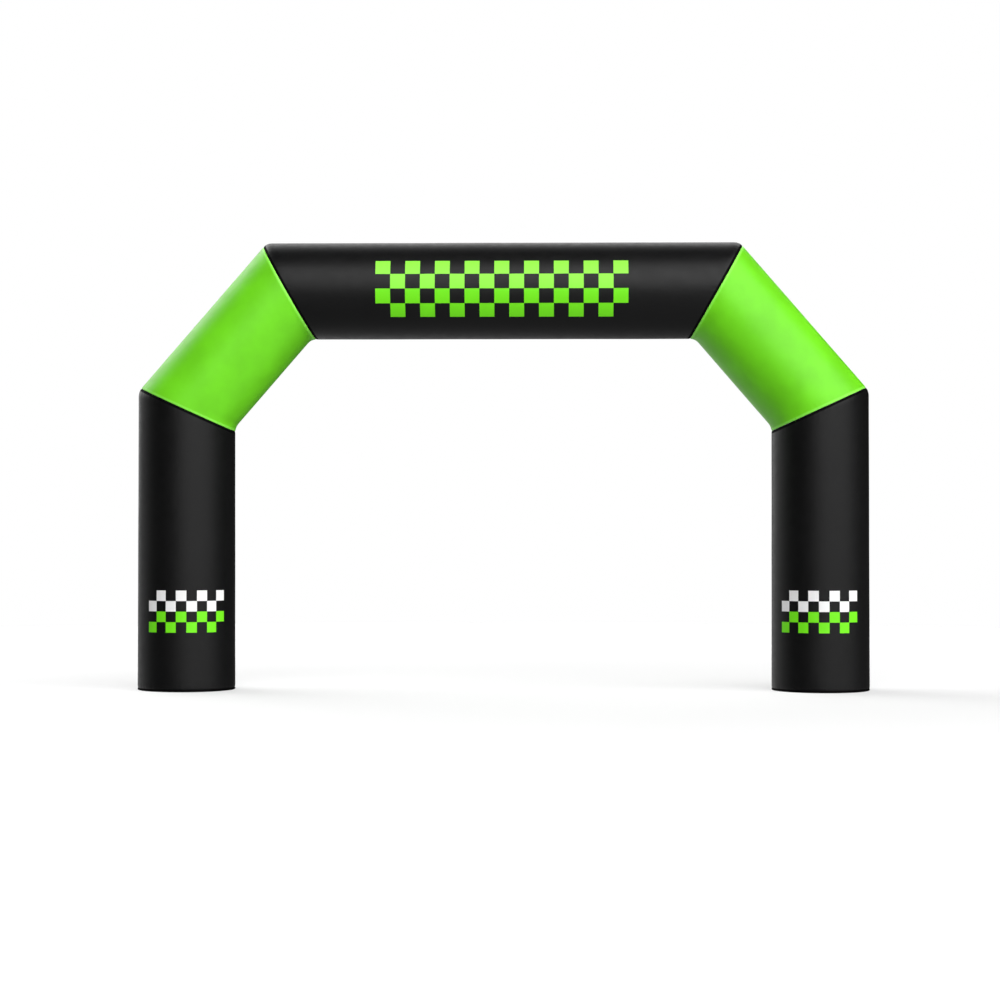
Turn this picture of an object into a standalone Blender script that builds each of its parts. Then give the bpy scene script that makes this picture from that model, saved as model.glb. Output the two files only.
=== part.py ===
"""An inflatable race arch: five sewn tubes of coated cloth, held round by the air inside them.

Two upright legs, two sloping shoulders and a level crossbeam are cut as separate tubes. Their edges are
turned in and sewn together at four slanting seams, and a round base panel is sewn into the foot of each leg.
Each panel is a skin one cloth thick, with its turned-in seam allowance.

The frame is in metres, with +Z up. The origin is on the ground, midway between the legs. +X runs along the
crossbeam, and -Y is the front.
"""

from math import cos, exp, pi, radians, sin, sqrt, tan

import bmesh
import bpy
from mathutils import Vector

# The arch, measured along the middle of its tubes
TUBE_RADIUS = 0.395
LEG_REACH = 2.600  # from the middle of the arch to a leg's axis
BEND_HEIGHT = 2.301  # where a leg's axis meets a shoulder's
PEAK_REACH = 1.760  # from the middle of the arch to where a shoulder's axis meets the crossbeam's
PEAK_HEIGHT = 3.272

# The corners. Each seam leans from the true mitre, so that the black cloth wraps the outside of the corner.
CORNER_RUN = 0.045  # how far to each side of a mitre its sharp corner is rounded
BEND_LEAN = radians(4.2)
PEAK_LEAN = radians(4.8)

# The cloth and its seams
CLOTH = 0.003
SEAM_GAP = 0.0003  # between two panels that are sewn together
SEAM_DEPTH = 0.006  # how far a seam is drawn in below the round of the tube
SEAM_ROLL = 0.022  # how far from the seam the cloth starts to roll in
ALLOWANCE = 0.015  # the width of the turned-in edge inside a seam

# The feet
FOOT_SEAM_HEIGHT = 0.018  # the top of the base panel's turned-up rim
FOOT_CORNER = 0.009  # the radius of the base panel's lower edge
FOOT_FLARE = 0.0035  # how far a leg spreads at the ground, under the arch's weight
FLARE_RUN = 0.600  # the height in which that spread falls to about a third

# How finely the round shapes are cut
AROUND = 48
FOOT_STEPS = 2  # in each quarter turn of the base panel's rim
CORNER_STATIONS = (0.0, 0.008, SEAM_ROLL, 0.042, 0.064, 0.092)  # rings' distances from a seam at a corner
FOOT_STATIONS = (0.0, 0.008, SEAM_ROLL, 0.160, 0.500)  # rings' distances from a seam at a foot

UP = Vector((0, 0, 1))
FRONT = Vector((0, -1, 0))

# Each cloth's name, colour and roughness
BLACK_CLOTH = ("black_cloth", (0.016, 0.016, 0.017), 0.48)
GREEN_CLOTH = ("green_cloth", (0.190, 0.760, 0.035), 0.45)
BASE_CLOTH = ("base_cloth", (0.008, 0.008, 0.009), 0.65)


class Seam:
    """A flat ring seam across the tube, where the tube's axis may turn from one direction to another."""

    def __init__(self, point, before, after, lean=0.0):
        self.point = point
        self.before = before
        self.after = after
        self.at_foot = before == after
        self.stations = FOOT_STATIONS if self.at_foot else CORNER_STATIONS
        along = (before + after).normalized()
        self.normal = along * cos(lean) - outward_of(along) * sin(lean)
        self.half_turn_tan = tan(before.angle(after) / 2)

    def thread(self, angle, distance):
        """A point on the tube's surface, along the straight thread at that angle round the tube.

        Distance 0 is the thread's corner at the mitre, which is rounded, and negative distances lie before it.
        """
        out = outward_of(self.before) * cos(angle) + FRONT * sin(angle)
        longer = TUBE_RADIUS * cos(angle) * self.half_turn_tan
        corner = self.point + out * TUBE_RADIUS + self.before * longer
        if distance <= -CORNER_RUN:
            return corner + self.before * distance
        if distance >= CORNER_RUN:
            return corner + self.after * distance
        share = (distance + CORNER_RUN) / (2 * CORNER_RUN)
        start = corner - self.before * CORNER_RUN
        end = corner + self.after * CORNER_RUN
        return start * (1 - share) ** 2 + corner * (2 * share * (1 - share)) + end * share**2

    def crossing(self, angle):
        """The distance at which the thread at that angle passes through the seam's plane."""
        low, high = -TUBE_RADIUS, TUBE_RADIUS
        for _ in range(40):
            middle = (low + high) / 2
            if (self.thread(angle, middle) - self.point).dot(self.normal) < 0:
                low = middle
            else:
                high = middle
        return (low + high) / 2


def outward_of(direction):
    """The direction away from the middle of the arch, square to a direction along its tube."""
    return Vector((-direction.z, 0, direction.x))


def drawn_in(from_seam):
    """The depth below the round of the tube: a quarter of an ellipse, which turns straight in at the seam."""
    if from_seam >= SEAM_ROLL:
        return 0.0
    return SEAM_DEPTH * (1 - sqrt(1 - (1 - from_seam / SEAM_ROLL) ** 2))


def flare(height):
    """How far the arch's weight spreads a leg's wall at that height above the ground."""
    return FOOT_FLARE * exp(-height / FLARE_RUN)


def angles():
    return [2 * pi * step / AROUND for step in range(AROUND)]


def wall_ring(seam, side, from_seam):
    """A ring of the wall near a seam. Side is 1 for the panel after the seam and -1 for the one before it."""
    ring = []
    for angle in angles():
        edge = seam.crossing(angle)
        inward = (seam.point - seam.thread(angle, edge)).normalized()
        point = seam.thread(angle, edge + side * from_seam) + inward * drawn_in(from_seam)
        if from_seam == 0:
            point += seam.normal * (side * SEAM_GAP / 2)
        if seam.at_foot:
            point -= inward * flare(point.z)
        ring.append(point)
    return ring


def allowance_ring(seam, edge):
    """The inner edge of the seam allowance, turned in from the panel's edge in the seam's own plane."""
    return [point + (seam.point - point).normalized() * ALLOWANCE for point in edge]


def end_rings(seam, side):
    """The rings of one end of a panel, from its turned-in allowance out along the wall."""
    walls = [wall_ring(seam, side, distance) for distance in seam.stations]
    return [allowance_ring(seam, walls[0])] + walls


def halfway_ring(ring, other):
    return [(a + b) / 2 for a, b in zip(ring, other)]


def base_ring(centre, radius, height):
    return [centre + Vector((cos(angle) * radius, sin(angle) * radius, height)) for angle in angles()]


def quarter_turn():
    """The angles of the rings in a quarter turn of the base panel's rim."""
    return [pi / 2 * step / FOOT_STEPS for step in range(FOOT_STEPS + 1)]


def cloth_material(name, colour, roughness):
    made = bpy.data.materials.get(name) or bpy.data.materials.new(name)
    made.use_nodes = True
    shader = made.node_tree.nodes["Principled BSDF"]
    shader.inputs["Base Color"].default_value = (*colour, 1)
    shader.inputs["Roughness"].default_value = roughness
    shader.inputs["Metallic"].default_value = 0.0
    return made


def cloth_panel(name, rings, cloth, closed_start=False):
    """A panel whose outer face runs through the rings, with its thickness added on the inside."""
    mesh = bpy.data.meshes.new(name)
    bm = bmesh.new()
    loops = [[bm.verts.new(point) for point in ring] for ring in rings]
    for loop, following in zip(loops, loops[1:]):
        for step in range(AROUND):
            beside = (step + 1) % AROUND
            bm.faces.new((loop[step], loop[beside], following[beside], following[step]))
    if closed_start:
        bm.faces.new(loops[0][::-1])
    bm.to_mesh(mesh)
    bm.free()
    mesh.shade_smooth()
    mesh.materials.append(cloth_material(*cloth))

    panel = bpy.data.objects.new(name, mesh)
    bpy.context.collection.objects.link(panel)
    thickness = panel.modifiers.new("thickness", "SOLIDIFY")
    thickness.thickness = CLOTH
    thickness.offset = -1
    thickness.use_even_offset = True
    thickness.use_quality_normals = True


def tube_panel(name, first, last, cloth):
    """One straight tube of the arch, between two seams."""
    start = end_rings(first, 1)
    end = end_rings(last, -1)[::-1]
    cloth_panel(name, start + [halfway_ring(start[-1], end[0])] + end, cloth)


def base_panel(name, foot_x):
    """A round ground panel, whose rim turns up and rolls in to meet the foot seam of its leg."""
    wall = TUBE_RADIUS + flare(FOOT_SEAM_HEIGHT)
    top = FOOT_SEAM_HEIGHT - SEAM_GAP / 2
    profile = []
    for turn in quarter_turn():
        profile.append((wall - FOOT_CORNER * (1 - sin(turn)), FOOT_CORNER * (1 - cos(turn))))
    for turn in quarter_turn()[1:]:
        profile.append((wall - SEAM_DEPTH * (1 - cos(turn)), FOOT_CORNER + (top - FOOT_CORNER) * sin(turn)))
    profile.append((wall - SEAM_DEPTH - ALLOWANCE, top))
    centre = Vector((foot_x, 0, 0))
    cloth_panel(name, [base_ring(centre, *ring) for ring in profile], BASE_CLOTH, closed_start=True)


def build():
    for old in list(bpy.data.objects):
        bpy.data.objects.remove(old)

    left_bend = Vector((-LEG_REACH, 0, BEND_HEIGHT))
    left_peak = Vector((-PEAK_REACH, 0, PEAK_HEIGHT))
    right_peak = Vector((PEAK_REACH, 0, PEAK_HEIGHT))
    right_bend = Vector((LEG_REACH, 0, BEND_HEIGHT))
    rise = (left_peak - left_bend).normalized()
    level = (right_peak - left_peak).normalized()
    fall = (right_bend - right_peak).normalized()

    left_foot_seam = Seam(Vector((-LEG_REACH, 0, FOOT_SEAM_HEIGHT)), UP, UP)
    left_bend_seam = Seam(left_bend, UP, rise, BEND_LEAN)
    left_peak_seam = Seam(left_peak, rise, level, -PEAK_LEAN)
    right_peak_seam = Seam(right_peak, level, fall, PEAK_LEAN)
    right_bend_seam = Seam(right_bend, fall, -UP, -BEND_LEAN)
    right_foot_seam = Seam(Vector((LEG_REACH, 0, FOOT_SEAM_HEIGHT)), -UP, -UP)

    tube_panel("leg_left", left_foot_seam, left_bend_seam, BLACK_CLOTH)
    tube_panel("shoulder_left", left_bend_seam, left_peak_seam, GREEN_CLOTH)
    tube_panel("crossbeam", left_peak_seam, right_peak_seam, BLACK_CLOTH)
    tube_panel("shoulder_right", right_peak_seam, right_bend_seam, GREEN_CLOTH)
    tube_panel("leg_right", right_bend_seam, right_foot_seam, BLACK_CLOTH)
    base_panel("base_left", -LEG_REACH)
    base_panel("base_right", LEG_REACH)


build()
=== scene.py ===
"""The looks of an inflatable race arch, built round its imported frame.

The arch is dressed piece by piece: the legs, the shoulders, the crossbeam, the ground panels in its feet, and
the stitching of every seam. Then comes the studio that it stands in.
Lengths are in metres. +Z is up and -Y is the front.
"""

from math import cos, exp, pi, radians, sin, sqrt, tan
from random import Random

import bmesh
import bpy
from mathutils import Matrix, Vector, noise


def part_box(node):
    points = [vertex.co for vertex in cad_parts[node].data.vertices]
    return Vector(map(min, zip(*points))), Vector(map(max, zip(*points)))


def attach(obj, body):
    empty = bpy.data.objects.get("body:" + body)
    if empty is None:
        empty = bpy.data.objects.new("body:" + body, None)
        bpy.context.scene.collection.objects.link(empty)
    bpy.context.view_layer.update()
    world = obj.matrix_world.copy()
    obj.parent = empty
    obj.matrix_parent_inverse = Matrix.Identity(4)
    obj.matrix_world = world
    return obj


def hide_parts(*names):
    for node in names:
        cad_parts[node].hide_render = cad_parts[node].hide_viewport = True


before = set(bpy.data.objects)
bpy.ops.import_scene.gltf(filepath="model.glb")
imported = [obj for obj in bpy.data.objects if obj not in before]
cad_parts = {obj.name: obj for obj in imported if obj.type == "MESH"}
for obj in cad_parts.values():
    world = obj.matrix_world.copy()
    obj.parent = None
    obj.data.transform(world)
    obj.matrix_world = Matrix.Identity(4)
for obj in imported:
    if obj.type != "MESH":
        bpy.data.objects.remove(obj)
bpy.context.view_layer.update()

# ---------------------------------------------------------------------------------------------------------
# Legs
# Two upright tubes of black coated polyester, cut level at the foot and slanting at the top. The air that is
# blown into the arch holds them round. Their edges are turned in, and sewn to the shoulder and ground panel.
# ---------------------------------------------------------------------------------------------------------

# The tubes and the route of their middle line, read from the frame as far as its boxes give them
beam_low, beam_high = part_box("crossbeam")
leg_low, leg_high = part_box("leg_right")
TUBE_RADIUS = (beam_high.y - beam_low.y) / 2
HALF_ROUND = pi * TUBE_RADIUS
LEG_REACH = (leg_low.x + leg_high.x) / 2
BEND_HEIGHT = 2.301
PEAK_REACH = 1.760
PEAK_HEIGHT = beam_high.z - TUBE_RADIUS

# The cut of the panels
CORNER_RUN = 0.045  # how far to each side of a mitre its sharp corner is rounded
BEND_LEAN = radians(4.2)  # of a seam from the true mitre
PEAK_LEAN = radians(4.8)
HALVINGS = 30  # in the search for the place where a thread crosses a seam
SEAM_GAP = 0.0003  # between two panels that are sewn together
SEAM_DEPTH = 0.006  # how far a seam is drawn in below the round of the tube
SEAM_ROLL = 0.022  # how far from the seam the cloth starts to roll in
ALLOWANCE = 0.015  # the width of the turned-in edge inside a seam
PAINTED_SHADE_REACH = 0.0225  # how far from a slanting seam the black cloth is painted darker and matt, as painted shade
CLOTH = 0.0008
FOOT_SEAM_HEIGHT = leg_low.z
FOOT_FLARE = 0.0035  # how far a leg spreads at the ground, under the arch's weight
FLARE_RUN = 0.600  # the height in which that spread falls to about a third

# The closing seam down the back of each tube is a flat band of folded cloth
BAND_HALF = 0.007  # from its middle to the edge of its flat
BAND_EDGE = 0.0085  # from its middle to the plain cloth
BAND_RAISE = 0.0009

# The threads and rows that the cloth is drawn by, closer together where it bends most
BAND_ARCS = (0.0, 0.0035, BAND_HALF, BAND_EDGE, 0.0115, 0.0180)  # threads' places, from the band's middle
AROUND = 300  # spaces between the threads round the rest of the tube
NEAR_SEAM = (
    0.0, 0.001, 0.0025, 0.0045, 0.007, 0.010, 0.0135, 0.0175, 0.022,
    0.028, 0.035, 0.043, 0.052, 0.063, 0.076, 0.092, 0.110, 0.130,
)  # rows' distances from a seam
MIDDLE_SPACING = 0.060  # between the rows beyond those
SHARP_ANGLE = radians(50)  # a sharper edge than this isn't shaded smooth

# The puckers that stitching gathers beside a seam, at their least and their most, and the cloth's slow swell
PUCKER_SPACING = (0.030, 0.055)
PUCKER_WIDTH = (0.008, 0.015)
PUCKER_DEPTH = (0.0005, 0.0016)
PUCKER_LENGTH = (0.025, 0.075)
PUCKER_SPREAD = 3  # widths to each side, past which a pucker has died out
SWELL = 0.0007
SWELL_SIZE = 0.45

UP = Vector((0, 0, 1))
FRONT = Vector((0, -1, 0))


def outward_of(direction):
    """The direction away from the middle of the arch, square to a direction along its tube."""
    return Vector((-direction.z, 0, direction.x))


def arcs_round():
    """The threads' places round a tube, from its back to its back, with more beside the closing seam."""
    coarse_start = BAND_ARCS[-1]
    step = 2 * (HALF_ROUND - coarse_start) / AROUND
    beside = [HALF_ROUND - arc for arc in BAND_ARCS]
    middle = [HALF_ROUND - coarse_start - step * count for count in range(1, AROUND)]
    return beside + middle + [-arc for arc in beside[:0:-1]]


ARCS = arcs_round()


class Seam:
    """A flat ring seam across the tube, where the tube may turn from one direction to another."""

    def __init__(self, point, before, after, lean=0.0, seed=1):
        self.point = point
        self.before = before
        self.after = after
        self.at_foot = before == after
        along = (before + after).normalized()
        self.normal = along * cos(lean) - outward_of(along) * sin(lean)
        self.half_turn_tan = tan(before.angle(after) / 2)
        self.crossings = [self.crossing(arc) for arc in ARCS]
        self.folds = self.folds_round(self.draw_puckers(Random(seed)))

    def draw_puckers(self, random):
        """The folds that the stitching gathers in the cloth: arc, width, depth and length of each."""
        puckers = []
        arc = -HALF_ROUND
        while arc < HALF_ROUND:
            puckers.append((arc, random.uniform(*PUCKER_WIDTH), random.uniform(*PUCKER_DEPTH),
                            random.uniform(*PUCKER_LENGTH)))
            arc += random.uniform(*PUCKER_SPACING)
        return puckers

    def thread(self, arc, distance):
        """A point on the tube along one lengthwise thread of the cloth. The corner of the mitre is at 0."""
        turn = pi / 2 - arc / TUBE_RADIUS
        out = outward_of(self.before) * cos(turn) + FRONT * sin(turn)
        corner = self.point + out * TUBE_RADIUS + self.before * (TUBE_RADIUS * cos(turn) * self.half_turn_tan)
        if distance <= -CORNER_RUN:
            return corner + self.before * distance
        if distance >= CORNER_RUN:
            return corner + self.after * distance
        share = (distance + CORNER_RUN) / (2 * CORNER_RUN)
        start = corner - self.before * CORNER_RUN
        end = corner + self.after * CORNER_RUN
        return start * (1 - share) ** 2 + corner * (2 * share * (1 - share)) + end * share**2

    def crossing(self, arc):
        """The distance at which that thread passes through the seam's plane."""
        low, high = -TUBE_RADIUS, TUBE_RADIUS
        for _ in range(HALVINGS):
            middle = (low + high) / 2
            if (self.thread(arc, middle) - self.point).dot(self.normal) < 0:
                low = middle
            else:
                high = middle
        return (low + high) / 2

    def folds_round(self, puckers):
        """For each thread, the puckers that reach it: how deep each is there, and its length."""
        folds = []
        for arc in ARCS:
            found = []
            for place, width, depth, length in puckers:
                beside = abs(arc - place)
                beside = min(beside, 2 * HALF_ROUND - beside) / width
                if beside < PUCKER_SPREAD:
                    found.append((depth * exp(-(beside**2)), length))
            folds.append(found)
        return folds


def drawn_in(from_seam):
    """How far the cloth lies below the round of the tube, as it rolls in towards a seam."""
    if from_seam >= SEAM_ROLL:
        return 0.0
    return SEAM_DEPTH * (1 - sqrt(1 - (1 - from_seam / SEAM_ROLL) ** 2))


def band_raise(arc):
    """The height of the closing seam's band, which lies at the back of the tube."""
    beside = HALF_ROUND - abs(arc)
    if beside >= BAND_EDGE:
        return 0.0
    return BAND_RAISE * min(1.0, (BAND_EDGE - beside) / (BAND_EDGE - BAND_HALF))


def wall_row(seam, side, from_seam):
    """One row of points round the tube beside a seam. Side is 1 for the panel after it and -1 before it."""
    row = []
    for arc, edge, folds in zip(ARCS, seam.crossings, seam.folds):
        inward = (seam.point - seam.thread(arc, edge)).normalized()
        sunk = drawn_in(from_seam) + sum(depth * exp(-((from_seam / length) ** 2)) for depth, length in folds)
        point = seam.thread(arc, edge + side * from_seam) + inward * sunk
        if from_seam == 0:
            point += seam.normal * (side * SEAM_GAP / 2)
        if seam.at_foot:
            point -= inward * (FOOT_FLARE * exp(-point.z / FLARE_RUN))
        row.append(point)
    return row


def panel_rows(first, last):
    """All the rows of a panel, each with its distance from the nearest seam."""
    start = [(wall_row(first, 1, distance), distance) for distance in NEAR_SEAM]
    end = [(wall_row(last, -1, distance), distance) for distance in NEAR_SEAM]
    reach = NEAR_SEAM[-1]
    gaps = [(b - a).length for a, b in zip(start[-1][0], end[-1][0])]
    count = round(sum(gaps) / len(gaps) / MIDDLE_SPACING)
    middle = []
    for step in range(1, count):
        share = step / count
        row = [a.lerp(b, share) for a, b in zip(start[-1][0], end[-1][0])]
        middle.append((row, reach + MIDDLE_SPACING * min(step, count - step)))
    return start + middle + end[::-1]


def turned_in(seam, row):
    """The inner edge of the seam allowance, in the seam's own plane."""
    return [point + (seam.point - point).normalized() * ALLOWANCE for point in row]


def drawn_out(bm, edges):
    """Draws a ring of edges out into the next ring. Returns the new ring's points and edges."""
    made = bmesh.ops.extrude_edge_only(bm, edges=edges)["geom"]
    points = [item for item in made if isinstance(item, bmesh.types.BMVert)]
    in_ring = set(points)
    made_edges = [item for item in made if isinstance(item, bmesh.types.BMEdge)]
    return points, [edge for edge in made_edges if in_ring.issuperset(edge.verts)]


def skin_panel(name, first, last, painted_shade_edges):
    """A tube of cloth between two seams, drawn out ring by ring. If asked, the faces beside its slanting
    seams take its second material: a darker matt black that paints shade there.
    """
    rows = panel_rows(first, last)
    axis = (last.point - first.point).normalized()
    middle = (first.point + last.point) / 2
    rings = [(turned_in(first, rows[0][0]), 0.0)] + rows + [(turned_in(last, rows[-1][0]), 0.0)]

    bm = bmesh.new()
    thread_layer = bm.verts.layers.int.new("thread")
    seam_layer = bm.verts.layers.float.new("seam")
    circle = bmesh.ops.create_circle(bm, segments=len(ARCS), radius=TUBE_RADIUS)["verts"]
    for number, vertex in enumerate(circle):
        vertex[thread_layer] = number
    edges = bm.edges[:]
    for count, (row, from_seam) in enumerate(rings):
        if count:
            circle, edges = drawn_out(bm, edges)
        nearest = first if count < len(rings) / 2 else last
        for vertex in circle:
            point = row[vertex[thread_layer]]
            radial = point - middle
            radial = (radial - axis * radial.dot(axis)).normalized()
            if 0 < count < len(rings) - 1:
                swell = SWELL * noise.noise(point / SWELL_SIZE) * min(1.0, from_seam / MIDDLE_SPACING)
                point = point + radial * (swell + band_raise(ARCS[vertex[thread_layer]]))
            vertex.co = point
            vertex[seam_layer] = NEAR_SEAM[-1] if nearest.at_foot else from_seam
    bmesh.ops.recalc_face_normals(bm, faces=bm.faces)
    for face in bm.faces:
        if painted_shade_edges and all(vertex[seam_layer] <= PAINTED_SHADE_REACH for vertex in face.verts):
            face.material_index = 1

    map_layer = bm.loops.layers.uv.new("cloth")
    for face in bm.faces:
        arcs = [ARCS[loop.vert[thread_layer]] for loop in face.loops]
        wraps = max(arcs) - min(arcs) > HALF_ROUND
        for loop, arc in zip(face.loops, arcs):
            arc -= 2 * HALF_ROUND if wraps and arc > 0 else 0
            loop[map_layer].uv = (arc, (loop.vert.co - middle).dot(axis))

    mesh = bpy.data.meshes.new(name)
    bm.to_mesh(mesh)
    bm.free()
    mesh.shade_smooth()
    mesh.set_sharp_from_angle(angle=SHARP_ANGLE)
    panel = bpy.data.objects.new(name, mesh)
    bpy.context.collection.objects.link(panel)
    thickness = panel.modifiers.new("thickness", "SOLIDIFY")
    thickness.thickness = CLOTH
    thickness.offset = -1
    return panel


def add_node(material, kind, inputs=(), **settings):
    """A node of a material, with its settings, and its inputs given as numbers, colours or other sockets."""
    node = material.node_tree.nodes.new(kind)
    for setting, value in settings.items():
        setattr(node, setting, value)
    for socket, value in dict(inputs).items():
        if isinstance(value, bpy.types.NodeSocket):
            material.node_tree.links.new(value, node.inputs[socket])
        else:
            node.inputs[socket].default_value = value
    return node


def maths(material, operation, first, second, third=0.0):
    inputs = {0: first, 1: second, 2: third}
    return add_node(material, "ShaderNodeMath", inputs, operation=operation).outputs[0]


def blended(material, share, first, second):
    """Two colours mixed by a share between 0 and 1."""
    return add_node(material, "ShaderNodeMix", {0: share, 6: first, 7: second}, data_type="RGBA").outputs[2]


def ranged(material, value, low, high, to_low, to_high):
    """A value carried from one range to another, and held inside it."""
    inputs = {"Value": value, "From Min": low, "From Max": high, "To Min": to_low, "To Max": to_high}
    return add_node(material, "ShaderNodeMapRange", inputs).outputs[0]


def noise_of(material, place, scale, detail):
    """A cloudy pattern that runs through the cloth."""
    inputs = {"Vector": place, "Scale": scale, "Detail": detail}
    return add_node(material, "ShaderNodeTexNoise", inputs).outputs["Fac"]


def bumped(material, height, depth, strength, under=None):
    """A surface roughened by a pattern of heights, over the bumps that it may have already."""
    inputs = {"Height": height, "Distance": depth, "Strength": strength}
    if under is not None:
        inputs["Normal"] = under
    return add_node(material, "ShaderNodeBump", inputs).outputs[0]


def chequer_print(material, square, squares_across, squares_up, centre, axes):
    """A printed block of chequers: the mask of its inked squares, and how far up the block each point is.

    Axes are the map's outputs that run across and up the block, and centre is the block's middle in them."""
    half_width = square * squares_across / 2
    half_height = square * squares_up / 2
    across = maths(material, "SUBTRACT", axes[0], centre[0] - half_width)
    up = maths(material, "SUBTRACT", axes[1], centre[1] - half_height)
    place = add_node(material, "ShaderNodeCombineXYZ", {0: across, 1: up, 2: square / 2}).outputs[0]
    chequers = add_node(material, "ShaderNodeTexChecker", {"Vector": place, "Scale": 1 / square})
    in_width = maths(material, "COMPARE", across, half_width, half_width)
    in_height = maths(material, "COMPARE", up, half_height, half_height)
    inside = maths(material, "MULTIPLY", in_width, in_height)
    return maths(material, "MULTIPLY", chequers.outputs["Fac"], inside), up


PAINTED_EDGE_REACH = (0.012, 0.026)  # from a seam to where its edge colour (on the green, a painted highlight) starts to fade, and to where it is gone
WEAVE_PITCH = 0.0014
WEAVE_SCALE = 2 * pi / (20 * WEAVE_PITCH)  # a wave texture's bands are 2 pi / 20 apart at a scale of 1
WEAVE_DEPTH = 0.0002
WEAVE_STRENGTH = 0.35
CLOUD_SCALE = 3.0  # of the coating's slow changes of shade
CLOUD_DETAIL = 4.0
CLOUD_SHADES = (0.90, 1.10)
GRAIN_SCALE = 14.0  # of its finer changes of gloss, and its creases
GRAIN_DETAIL = 5.0
GRAIN_DEPTH = 0.002
GRAIN_STRENGTH = 0.12
ROUGHNESS_SPREAD = 0.04
NOISE_RANGE = (0.3, 0.7)  # the part of a noise's range that its values fill


def coated_cloth(name, colour, roughness, gloss, edge_colour):
    """Woven polyester with a thin coating: the material, its shader, its colour and its map's outputs."""
    material = bpy.data.materials.new(name)
    material.use_nodes = True
    shader = material.node_tree.nodes["Principled BSDF"]
    shader.inputs["Specular IOR Level"].default_value = gloss
    place = add_node(material, "ShaderNodeTexCoord").outputs["Object"]
    cloth_map = add_node(material, "ShaderNodeUVMap", uv_map="cloth").outputs[0]
    axes = add_node(material, "ShaderNodeSeparateXYZ", {0: cloth_map})

    clouds = noise_of(material, place, CLOUD_SCALE, CLOUD_DETAIL)
    shade = ranged(material, clouds, *NOISE_RANGE, *CLOUD_SHADES)
    shaded = add_node(material, "ShaderNodeVectorMath", {0: colour[:3], "Scale": shade}, operation="SCALE")
    # Beside each seam the colour turns to the edge colour; on the green cloth that is a painted highlight.
    seam = add_node(material, "ShaderNodeAttribute", attribute_name="seam").outputs["Fac"]
    beside_seam = ranged(material, seam, *PAINTED_EDGE_REACH, 1.0, 0.0)
    tint = blended(material, beside_seam, shaded.outputs[0], edge_colour)

    grain = noise_of(material, place, GRAIN_SCALE, GRAIN_DETAIL)
    rough = ranged(material, grain, *NOISE_RANGE, roughness - ROUGHNESS_SPREAD, roughness + ROUGHNESS_SPREAD)
    material.node_tree.links.new(rough, shader.inputs["Roughness"])

    warp, weft = (add_node(material, "ShaderNodeTexWave", {"Vector": cloth_map, "Scale": WEAVE_SCALE},
                           bands_direction=direction).outputs["Fac"] for direction in "XY")
    over = add_node(material, "ShaderNodeTexChecker", {"Vector": cloth_map, "Scale": 1 / WEAVE_PITCH})
    weave = add_node(material, "ShaderNodeMix", {0: over.outputs["Fac"], 2: warp, 3: weft}).outputs[0]
    creased = bumped(material, grain, GRAIN_DEPTH, GRAIN_STRENGTH)
    woven = bumped(material, weave, WEAVE_DEPTH, WEAVE_STRENGTH, under=creased)
    material.node_tree.links.new(woven, shader.inputs["Normal"])
    return material, shader, tint, axes.outputs


def plain_cloth(*finish):
    """Coated cloth with nothing printed on it."""
    material, shader, tint, _ = coated_cloth(*finish)
    material.node_tree.links.new(tint, shader.inputs["Base Color"])
    return material


BLACK = (0.004, 0.004, 0.0042, 1)
BLACK_ROUGHNESS = 0.40
BLACK_GLOSS = 0.21
# The fold beside the slanting seams is darker than the black cloth: painted shade. It is also rougher and
# less glossy.
FOLD_PAINTED_SHADE = (0.0015, 0.0015, 0.0016, 1)
FOLD_ROUGHNESS = 0.75
FOLD_GLOSS = 0.03
PRINT_WHITE = (0.850, 0.850, 0.850, 1)
PRINT_GREEN = (0.170, 0.780, 0.012, 1)

# A block of chequers is printed on the front of each leg, white in the upper half and green in the lower
LEG_PRINT_SQUARE = 0.085
LEG_PRINT_ACROSS = 8
LEG_PRINT_UP = 4
LEG_PRINT_LEVEL = 0.650
LEG_PRINT_TURN = 0.058  # how far round the leg its print's middle is turned


def leg_cloth(name, middle_height, upwards, turn):
    """A leg's cloth with its print. Upwards is 1 where the cloth's map runs up the leg, and -1 where down."""
    material, shader, tint, axes = coated_cloth(name, BLACK, BLACK_ROUGHNESS, BLACK_GLOSS, BLACK)
    centre = (turn, upwards * (LEG_PRINT_LEVEL - middle_height))
    ink, up = chequer_print(material, LEG_PRINT_SQUARE, LEG_PRINT_ACROSS, LEG_PRINT_UP, centre, axes)
    above = "GREATER_THAN" if upwards > 0 else "LESS_THAN"
    top_half = maths(material, above, up, LEG_PRINT_SQUARE * LEG_PRINT_UP / 2)
    ink_colour = blended(material, top_half, PRINT_GREEN, PRINT_WHITE)
    material.node_tree.links.new(blended(material, ink, tint, ink_colour), shader.inputs["Base Color"])
    return material


def dress(piece, cloths, node):
    """Gives a tube its cloth, and puts it in its node's place on the arch."""
    for cloth in cloths:
        piece.data.materials.append(cloth)
    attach(piece, "root")
    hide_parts(node)


left_bend = Vector((-LEG_REACH, 0, BEND_HEIGHT))
left_peak = Vector((-PEAK_REACH, 0, PEAK_HEIGHT))
right_peak = Vector((PEAK_REACH, 0, PEAK_HEIGHT))
right_bend = Vector((LEG_REACH, 0, BEND_HEIGHT))
rise = (left_peak - left_bend).normalized()
level = (right_peak - left_peak).normalized()
fall = (right_bend - right_peak).normalized()

left_foot_seam = Seam(Vector((-LEG_REACH, 0, FOOT_SEAM_HEIGHT)), UP, UP, seed=11)
left_bend_seam = Seam(left_bend, UP, rise, BEND_LEAN, seed=12)
left_peak_seam = Seam(left_peak, rise, level, -PEAK_LEAN, seed=13)
right_peak_seam = Seam(right_peak, level, fall, PEAK_LEAN, seed=14)
right_bend_seam = Seam(right_bend, fall, -UP, -BEND_LEAN, seed=15)
right_foot_seam = Seam(Vector((LEG_REACH, 0, FOOT_SEAM_HEIGHT)), -UP, -UP, seed=16)

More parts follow.
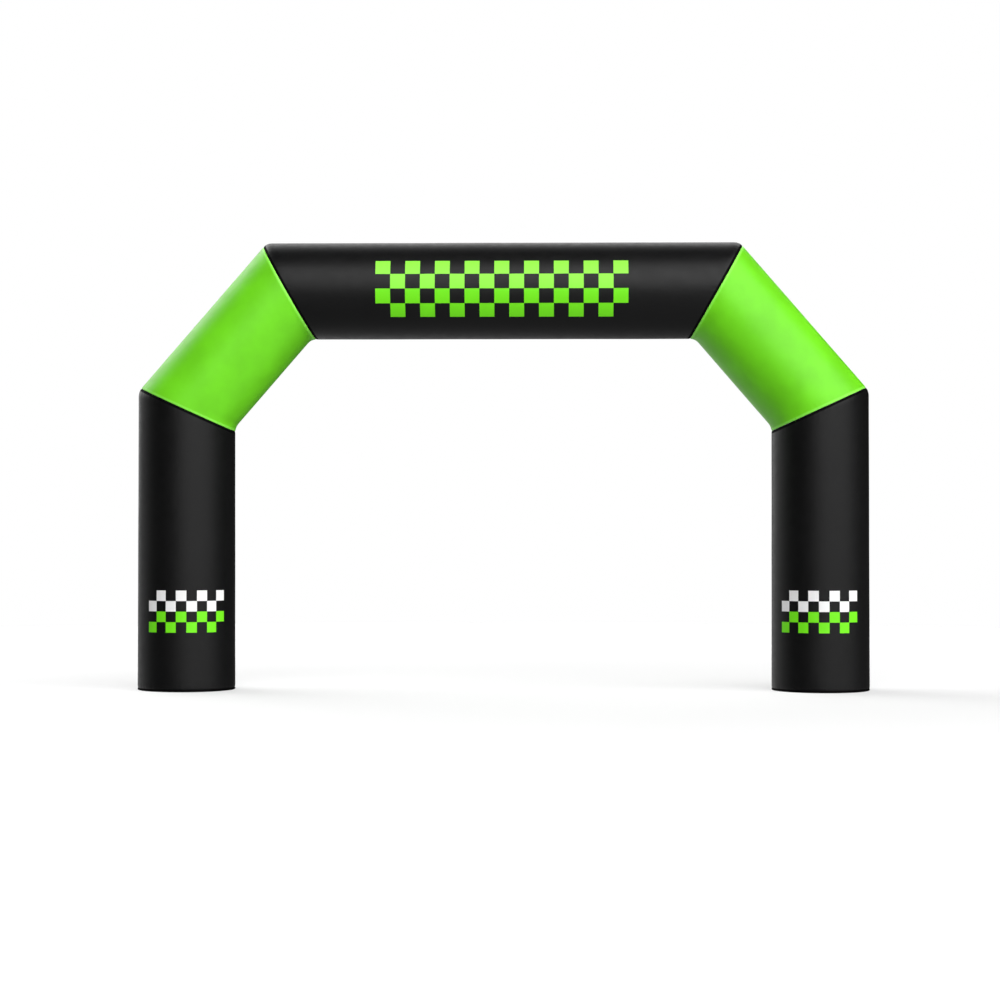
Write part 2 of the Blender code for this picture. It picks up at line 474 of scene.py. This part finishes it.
leg_middle = (BEND_HEIGHT + FOOT_SEAM_HEIGHT) / 2
# A darker matt black for the cloth beside the slanting seams, which paints shade into them.
black_fold_shade = plain_cloth("black_cloth_fold", FOLD_PAINTED_SHADE, FOLD_ROUGHNESS, FOLD_GLOSS, FOLD_PAINTED_SHADE)
left_leg = skin_panel("leg_left_cloth", left_foot_seam, left_bend_seam, painted_shade_edges=True)
left_leg_cloth = leg_cloth("black_cloth_left_leg", leg_middle, 1, -LEG_PRINT_TURN)
dress(left_leg, [left_leg_cloth, black_fold_shade], "leg_left")
right_leg = skin_panel("leg_right_cloth", right_bend_seam, right_foot_seam, painted_shade_edges=True)
right_leg_cloth = leg_cloth("black_cloth_right_leg", leg_middle, -1, -LEG_PRINT_TURN)
dress(right_leg, [right_leg_cloth, black_fold_shade], "leg_right")

# ---------------------------------------------------------------------------------------------------------
# Shoulders
# Two sloping tubes of bright green coated polyester, cut slanting at both ends. The green cloth bridges the
# inside of each corner, and the black cloth of the next tube wraps round its outside.
# ---------------------------------------------------------------------------------------------------------
GREEN = (0.156, 0.660, 0.012, 1)
GREEN_PAINTED_HIGHLIGHT = (0.265, 0.890, 0.078, 1)  # painted highlight: the green is painted lighter where the cloth rolls in to a seam
GREEN_ROUGHNESS = 0.40
GREEN_GLOSS = 0.25

green_cloth = plain_cloth("green_cloth_shoulders", GREEN, GREEN_ROUGHNESS, GREEN_GLOSS, GREEN_PAINTED_HIGHLIGHT)
left_shoulder = skin_panel("shoulder_left_cloth", left_bend_seam, left_peak_seam, painted_shade_edges=False)
dress(left_shoulder, [green_cloth], "shoulder_left")
right_shoulder = skin_panel("shoulder_right_cloth", right_peak_seam, right_bend_seam, painted_shade_edges=False)
dress(right_shoulder, [green_cloth], "shoulder_right")

# ---------------------------------------------------------------------------------------------------------
# Crossbeam
# The level black tube over the passage. A band of chequers in two greens is printed across its front, the
# lighter green in the upper half and the deeper one in the lower.
# ---------------------------------------------------------------------------------------------------------
BEAM_PRINT_SQUARE = 0.120
BEAM_PRINT_ACROSS = 17
BEAM_PRINT_UP = 4
BEAM_PRINT_DROP = 0.018  # how far below the tube's foremost line the band's middle is
PRINT_LIGHT_GREEN = (0.270, 0.860, 0.060, 1)


def beam_cloth(name):
    """The crossbeam's cloth with its print. The cloth's map runs up the beam first, and then along it."""
    material, shader, tint, axes = coated_cloth(name, BLACK, BLACK_ROUGHNESS, BLACK_GLOSS, BLACK)
    centre = (0, -BEAM_PRINT_DROP)
    turned = (axes[1], axes[0])
    ink, up = chequer_print(material, BEAM_PRINT_SQUARE, BEAM_PRINT_ACROSS, BEAM_PRINT_UP, centre, turned)
    top_half = maths(material, "GREATER_THAN", up, BEAM_PRINT_SQUARE * BEAM_PRINT_UP / 2)
    ink_colour = blended(material, top_half, PRINT_GREEN, PRINT_LIGHT_GREEN)
    material.node_tree.links.new(blended(material, ink, tint, ink_colour), shader.inputs["Base Color"])
    return material


crossbeam = skin_panel("crossbeam_cloth", left_peak_seam, right_peak_seam, painted_shade_edges=True)
dress(crossbeam, [beam_cloth("black_cloth_crossbeam"), black_fold_shade], "crossbeam")

# ---------------------------------------------------------------------------------------------------------
# Ground panels
# A round panel of heavier matt black cloth closes the foot of each leg. It lies flat on the ground, and its
# rim turns up and rolls in to the foot seam.
# ---------------------------------------------------------------------------------------------------------
FOOT_CORNER = 0.009  # the radius of the panel's lower edge
GROUND_CLOTH = 0.0012
RIM_STEPS = 8  # in each quarter turn of the rim
RIM_SEGMENTS = 180

# Darker than the legs' black: partly the heavier cloth's own colour, partly painted shade for the dark line
# along the foot.
GROUND_BLACK_AND_SHADE = (0.0012, 0.0012, 0.0013, 1)
GROUND_ROUGHNESS = 0.7
GROUND_GLOSS = 0.03
DUST = (0.004, 0.004, 0.004, 1)
DUST_SCALE = 9.0
DUST_DETAIL = 5.0
DUST_RANGE = (0.45, 0.80)
DUST_MOST = 0.5
GRIT_SCALE = 400.0
GRIT_DETAIL = 2.0
GRIT_DEPTH = 0.0003
GRIT_STRENGTH = 0.4


def ground_cloth(name):
    """Matt black cloth with a fine grit, and a little dust in patches."""
    material = bpy.data.materials.new(name)
    material.use_nodes = True
    shader = material.node_tree.nodes["Principled BSDF"]
    shader.inputs["Roughness"].default_value = GROUND_ROUGHNESS
    shader.inputs["Specular IOR Level"].default_value = GROUND_GLOSS
    place = add_node(material, "ShaderNodeTexCoord").outputs["Object"]
    dusty = ranged(material, noise_of(material, place, DUST_SCALE, DUST_DETAIL), *DUST_RANGE, 0.0, DUST_MOST)
    material.node_tree.links.new(blended(material, dusty, GROUND_BLACK_AND_SHADE, DUST), shader.inputs["Base Color"])
    grit = noise_of(material, place, GRIT_SCALE, GRIT_DETAIL)
    material.node_tree.links.new(bumped(material, grit, GRIT_DEPTH, GRIT_STRENGTH), shader.inputs["Normal"])
    return material


def ground_panel(name, node, material):
    """A disc whose edge is drawn up and rolled in, then given its thickness on the inside."""
    low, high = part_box(node)
    wall = (high.y - low.y) / 2
    top = high.z
    steps = [pi / 2 * step / RIM_STEPS for step in range(RIM_STEPS + 1)]
    profile = [(wall - FOOT_CORNER * (1 - sin(turn)), FOOT_CORNER * (1 - cos(turn))) for turn in steps]
    profile += [(wall - SEAM_DEPTH * (1 - cos(turn)), FOOT_CORNER + (top - FOOT_CORNER) * sin(turn))
                for turn in steps[1:]]
    profile.append((wall - SEAM_DEPTH - ALLOWANCE, top))

    bm = bmesh.new()
    bmesh.ops.create_circle(bm, cap_ends=True, segments=RIM_SEGMENTS, radius=profile[0][0])
    edges = bm.edges[:]
    radius, height = profile[0]
    for new_radius, new_height in profile[1:]:
        ring, edges = drawn_out(bm, edges)
        bmesh.ops.scale(bm, verts=ring, vec=(new_radius / radius, new_radius / radius, 1))
        bmesh.ops.translate(bm, verts=ring, vec=(0, 0, new_height - height))
        radius, height = new_radius, new_height
    bmesh.ops.recalc_face_normals(bm, faces=bm.faces)
    bmesh.ops.translate(bm, verts=bm.verts, vec=((low.x + high.x) / 2, 0, 0))
    mesh = bpy.data.meshes.new(name)
    bm.to_mesh(mesh)
    bm.free()
    mesh.shade_smooth()
    mesh.set_sharp_from_angle(angle=SHARP_ANGLE)
    mesh.materials.append(material)
    panel = bpy.data.objects.new(name, mesh)
    bpy.context.collection.objects.link(panel)
    thickness = panel.modifiers.new("thickness", "SOLIDIFY")
    thickness.thickness = GROUND_CLOTH
    thickness.offset = -1
    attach(panel, "root")
    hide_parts(node)


matt_cloth = ground_cloth("ground_cloth")
ground_panel("base_left_cloth", "base_left", matt_cloth)
ground_panel("base_right_cloth", "base_right", matt_cloth)

# ---------------------------------------------------------------------------------------------------------
# Stitching
# Each seam is sewn with stout polyester thread: a row of stitches on each side of every slanting seam, one
# above each foot seam, and two along the closing seam at the back of each tube.
# ---------------------------------------------------------------------------------------------------------
STITCH_PITCH = 0.0085
STITCH_LENGTH = 0.0066
STITCH_SEGMENTS = 6
STITCH_RINGS = 4
THREAD = 0.0011
SEAM_ROW = 0.0115  # from a seam to its row of stitches
BAND_ROW = 0.0045  # from the middle of the closing seam to each of its rows

THREAD_BLACK = (0.020, 0.020, 0.021, 1)
THREAD_GREEN = (0.240, 0.850, 0.060, 1)
THREAD_DEEP = 0.6  # the shade between its fibres
THREAD_ROUGHNESS = 0.6
THREAD_GLOSS = 0.3
FIBRE_SCALE = 900.0
FIBRE_DETAIL = 1.0


def thread_material(name, colour):
    """Twisted thread, deeper in colour between its fibres."""
    material = bpy.data.materials.new(name)
    material.use_nodes = True
    shader = material.node_tree.nodes["Principled BSDF"]
    shader.inputs["Roughness"].default_value = THREAD_ROUGHNESS
    shader.inputs["Specular IOR Level"].default_value = THREAD_GLOSS
    place = add_node(material, "ShaderNodeTexCoord").outputs["Object"]
    fibres = noise_of(material, place, FIBRE_SCALE, FIBRE_DETAIL)
    deep = tuple(part * THREAD_DEEP for part in colour[:3]) + (1,)
    material.node_tree.links.new(blended(material, fibres, deep, colour), shader.inputs["Base Color"])
    return material


def evenly_along(points, pitch):
    """Places a stitch's pitch apart along a line of points, each with the direction of the line there."""
    placed = []
    ahead = pitch / 2
    for start, end in zip(points, points[1:]):
        length = (end - start).length
        while ahead < length:
            placed.append((start.lerp(end, ahead / length), (end - start).normalized()))
            ahead += pitch
        ahead -= length
    return placed


def single_stitch():
    """One stitch, as a ball of radius 1 whose poles lie along X."""
    mesh = bpy.data.meshes.new("single_stitch")
    bm = bmesh.new()
    lying = Matrix.Rotation(pi / 2, 4, "Y")
    bmesh.ops.create_uvsphere(bm, u_segments=STITCH_SEGMENTS, v_segments=STITCH_RINGS, radius=1, matrix=lying)
    bm.to_mesh(mesh)
    bm.free()
    return mesh


def stitch_row(bm, stitch, points, middle_line):
    """Stitches half sunk in the cloth along a line. Middle_line gives the place inside the tube for each."""
    for place, along in evenly_along(points, STITCH_PITCH):
        out = place - middle_line(place)
        out = (out - along * out.dot(along)).normalized()
        side = along.cross(out)
        shape = Matrix((along * STITCH_LENGTH / 2, side * THREAD / 2, out * THREAD / 2)).transposed()
        placing = Matrix.Translation(place) @ shape.to_4x4()
        stitch.transform(placing)
        bm.from_mesh(stitch)
        stitch.transform(placing.inverted())


def stitching(name, rows, material):
    """All the stitches of some rows, as one piece."""
    bm = bmesh.new()
    stitch = single_stitch()
    for points, middle_line in rows:
        stitch_row(bm, stitch, points, middle_line)
    mesh = bpy.data.meshes.new(name)
    bm.to_mesh(mesh)
    bm.free()
    mesh.shade_smooth()
    mesh.materials.append(material)
    piece = bpy.data.objects.new(name, mesh)
    bpy.context.collection.objects.link(piece)
    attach(piece, "root")


def ring_row(seam, side):
    """A closed row of points round the tube beside a seam."""
    row = wall_row(seam, side, SEAM_ROW)
    return row + row[:1], lambda place: seam.point


def band_row(rows, first, last, beside):
    """A row of points along the back of a tube, to one side of the middle of its closing seam."""
    axis = (last.point - first.point).normalized()
    points = []
    for row, _ in rows:
        back, next_to_it = row[:2]
        step = (next_to_it - back).normalized() * beside
        out = back - first.point
        out = (out - axis * out.dot(axis)).normalized()
        points.append(back + step + out * BAND_RAISE)
    return points, lambda place: first.point + axis * (place - first.point).dot(axis)


black_thread = thread_material("black_thread", THREAD_BLACK)
green_thread = thread_material("green_thread", THREAD_GREEN)

stitching("stitches_left_bend_black", [ring_row(left_bend_seam, -1)], black_thread)
stitching("stitches_left_bend_green", [ring_row(left_bend_seam, 1)], green_thread)
stitching("stitches_left_peak_green", [ring_row(left_peak_seam, -1)], green_thread)
stitching("stitches_left_peak_black", [ring_row(left_peak_seam, 1)], black_thread)
stitching("stitches_right_peak_black", [ring_row(right_peak_seam, -1)], black_thread)
stitching("stitches_right_peak_green", [ring_row(right_peak_seam, 1)], green_thread)
stitching("stitches_right_bend_green", [ring_row(right_bend_seam, -1)], green_thread)
stitching("stitches_right_bend_black", [ring_row(right_bend_seam, 1)], black_thread)
stitching("stitches_left_foot", [ring_row(left_foot_seam, 1)], black_thread)
stitching("stitches_right_foot", [ring_row(right_foot_seam, -1)], black_thread)

for name, first, last, thread, slot in (
    ("leg_left", left_foot_seam, left_bend_seam, black_thread, "black_cloth"),
    ("shoulder_left", left_bend_seam, left_peak_seam, green_thread, "green_cloth"),
    ("crossbeam", left_peak_seam, right_peak_seam, black_thread, "black_cloth"),
    ("shoulder_right", right_peak_seam, right_bend_seam, green_thread, "green_cloth"),
    ("leg_right", right_bend_seam, right_foot_seam, black_thread, "black_cloth"),
):
    rows = panel_rows(first, last)
    pair = [band_row(rows, first, last, beside) for beside in (BAND_ROW, -BAND_ROW)]
    stitching(f"stitches_back_{name}", pair, thread)

# ---------------------------------------------------------------------------------------------------------
# Studio
# A pale floor in a white room, with soft lights far off: a wide key with a brighter heart in front, a fill on
# its right, lights behind the arch and to its left that edge it, and a low one that reaches the floor alone.
# The lower half of the world stands for the floor's bounce, brighter to the front right and the back left.
# ---------------------------------------------------------------------------------------------------------
STUDIO_REACH = 90.0
BACKDROP_ROUNDING = 4
FLOOR_REACH = 14.0
FLOOR_SEGMENTS = 64
FLOOR_PAINT = 0.40
PAINT_ROUGHNESS = 0.9
FLOOR_GLOW = 0.440
RIM_GLOW = 0.494
FADE_START = 4.5  # how far from the middle the floor's glow starts to change to its rim's

BOUNCE_LIT = 0.75
BOUNCE_UNLIT = 0.09
DIAGONAL_BLEND = 0.15  # how wide the change is between the quarters of the bounce
HORIZON_BLEND = 0.04  # how wide it fades out at the horizon

LIGHT_DISTANCE = 40.0
LIGHT_POWER = 4.0  # in watts, of each square metre of a light at a brightness of 1
ARCH_MIDDLE = Vector((0, 0, 1.9))  # where the lights aim

CAMERA_PLACE = Vector((0.3756, -19.0026, 1.2857))
CAMERA_YAW = -0.02092
CAMERA_PITCH = 0.01414
CAMERA_LENS = 83.34
CAMERA_SENSOR = 36.0
CAMERA_SIGHT = 400.0


def stage_piece(name, grey, glow, make_shape):
    """The floor or the backdrop, in a plain matt paint that also glows."""
    bm = bmesh.new()
    make_shape(bm)
    mesh = bpy.data.meshes.new(name)
    bm.to_mesh(mesh)
    bm.free()
    paint = bpy.data.materials.new(f"{name}_paint")
    paint.use_nodes = True
    shader = paint.node_tree.nodes["Principled BSDF"]
    shader.inputs["Base Color"].default_value = (grey, grey, grey, 1)
    shader.inputs["Roughness"].default_value = PAINT_ROUGHNESS
    shader.inputs["Specular IOR Level"].default_value = 0.0
    shader.inputs["Emission Color"].default_value = (1, 1, 1, 1)
    shader.inputs["Emission Strength"].default_value = glow
    mesh.materials.append(paint)
    piece = bpy.data.objects.new(name, mesh)
    piece.visible_diffuse = False
    piece.visible_glossy = False
    piece.visible_shadow = False
    bpy.context.collection.objects.link(piece)
    return piece


def floor_shape(bm):
    bmesh.ops.create_circle(bm, cap_ends=True, segments=FLOOR_SEGMENTS, radius=FLOOR_REACH)


def faded_glow(paint):
    """The floor glows a little more towards its rim, where it meets the backdrop unseen."""
    place = add_node(paint, "ShaderNodeTexCoord").outputs["Object"]
    away = add_node(paint, "ShaderNodeVectorMath", {0: place}, operation="LENGTH").outputs["Value"]
    glow = ranged(paint, away, FADE_START, FLOOR_REACH, FLOOR_GLOW, RIM_GLOW)
    paint.node_tree.links.new(glow, paint.node_tree.nodes["Principled BSDF"].inputs["Emission Strength"])


def backdrop_shape(bm):
    bmesh.ops.create_icosphere(bm, subdivisions=BACKDROP_ROUNDING, radius=STUDIO_REACH)
    bmesh.ops.reverse_faces(bm, faces=bm.faces)


floor = stage_piece("floor", grey=FLOOR_PAINT, glow=FLOOR_GLOW, make_shape=floor_shape)
faded_glow(floor.data.materials[0])
stage_piece("backdrop", grey=0.0, glow=1.0, make_shape=backdrop_shape)

world = bpy.data.worlds.new("studio")
world.use_nodes = True
sky = world.node_tree.nodes["Background"]
way = add_node(world, "ShaderNodeTexCoord").outputs["Generated"]
parts = add_node(world, "ShaderNodeSeparateXYZ", {0: way}).outputs
across_diagonal = maths(world, "MULTIPLY", parts["X"], parts["Y"])
bounce = ranged(world, across_diagonal, -DIAGONAL_BLEND, DIAGONAL_BLEND, BOUNCE_LIT, BOUNCE_UNLIT)
below = ranged(world, parts["Z"], HORIZON_BLEND, -HORIZON_BLEND, 0.0, 1.0)
world.node_tree.links.new(maths(world, "MULTIPLY", bounce, below), sky.inputs["Strength"])
sky.inputs["Color"].default_value = (1, 1, 1, 1)
bpy.context.scene.world = world


def softbox(name, azimuth, elevation, across, upright, brightness):
    """A far flat light, turned to the arch. Azimuth 0 is in front, and 90 is on the right.

    Across and upright are the angles that it fills, seen from the arch."""
    azimuth, elevation = radians(azimuth), radians(elevation)
    away = Vector((sin(azimuth) * cos(elevation), -cos(azimuth) * cos(elevation), sin(elevation)))
    lamp = bpy.data.lights.new(name, "AREA")
    lamp.shape = "RECTANGLE"
    lamp.size = 2 * LIGHT_DISTANCE * tan(radians(across / 2))
    lamp.size_y = 2 * LIGHT_DISTANCE * tan(radians(upright / 2))
    lamp.energy = LIGHT_POWER * brightness * lamp.size * lamp.size_y
    light = bpy.data.objects.new(name, lamp)
    light.location = ARCH_MIDDLE + away * LIGHT_DISTANCE
    light.rotation_euler = away.to_track_quat("Z", "Y").to_euler()
    light.visible_camera = False
    bpy.context.collection.objects.link(light)
    return light


softbox("key", azimuth=28, elevation=33, across=84, upright=60, brightness=2.21)
softbox("key_heart", azimuth=12, elevation=34, across=40, upright=36, brightness=0.88)
softbox("fill", azimuth=68, elevation=46, across=36, upright=40, brightness=0.46)
softbox("back", azimuth=-168, elevation=36, across=66, upright=32, brightness=1.42)
softbox("back_high", azimuth=180, elevation=58, across=60, upright=20, brightness=0.30)
softbox("back_left", azimuth=-118, elevation=30, across=34, upright=44, brightness=1.44)
softbox("back_left_high", azimuth=-130, elevation=42, across=40, upright=26, brightness=0.75)
softbox("back_low", azimuth=-150, elevation=10, across=30, upright=20, brightness=1.03)
floor_light = softbox("floor_light", azimuth=-114, elevation=14, across=76, upright=22, brightness=5.6)
floor_only = bpy.data.collections.new("floor_only")
floor_only.objects.link(floor)
floor_light.light_linking.receiver_collection = floor_only

bpy.context.scene.view_settings.view_transform = "Standard"

camera_data = bpy.data.cameras.new("camera")
camera_data.lens = CAMERA_LENS
camera_data.sensor_width = CAMERA_SENSOR
camera_data.clip_end = CAMERA_SIGHT
camera = bpy.data.objects.new("camera", camera_data)
camera.location = CAMERA_PLACE
camera.rotation_euler = (pi / 2 + CAMERA_PITCH, 0, -CAMERA_YAW)
bpy.context.collection.objects.link(camera)
bpy.context.scene.camera = camera
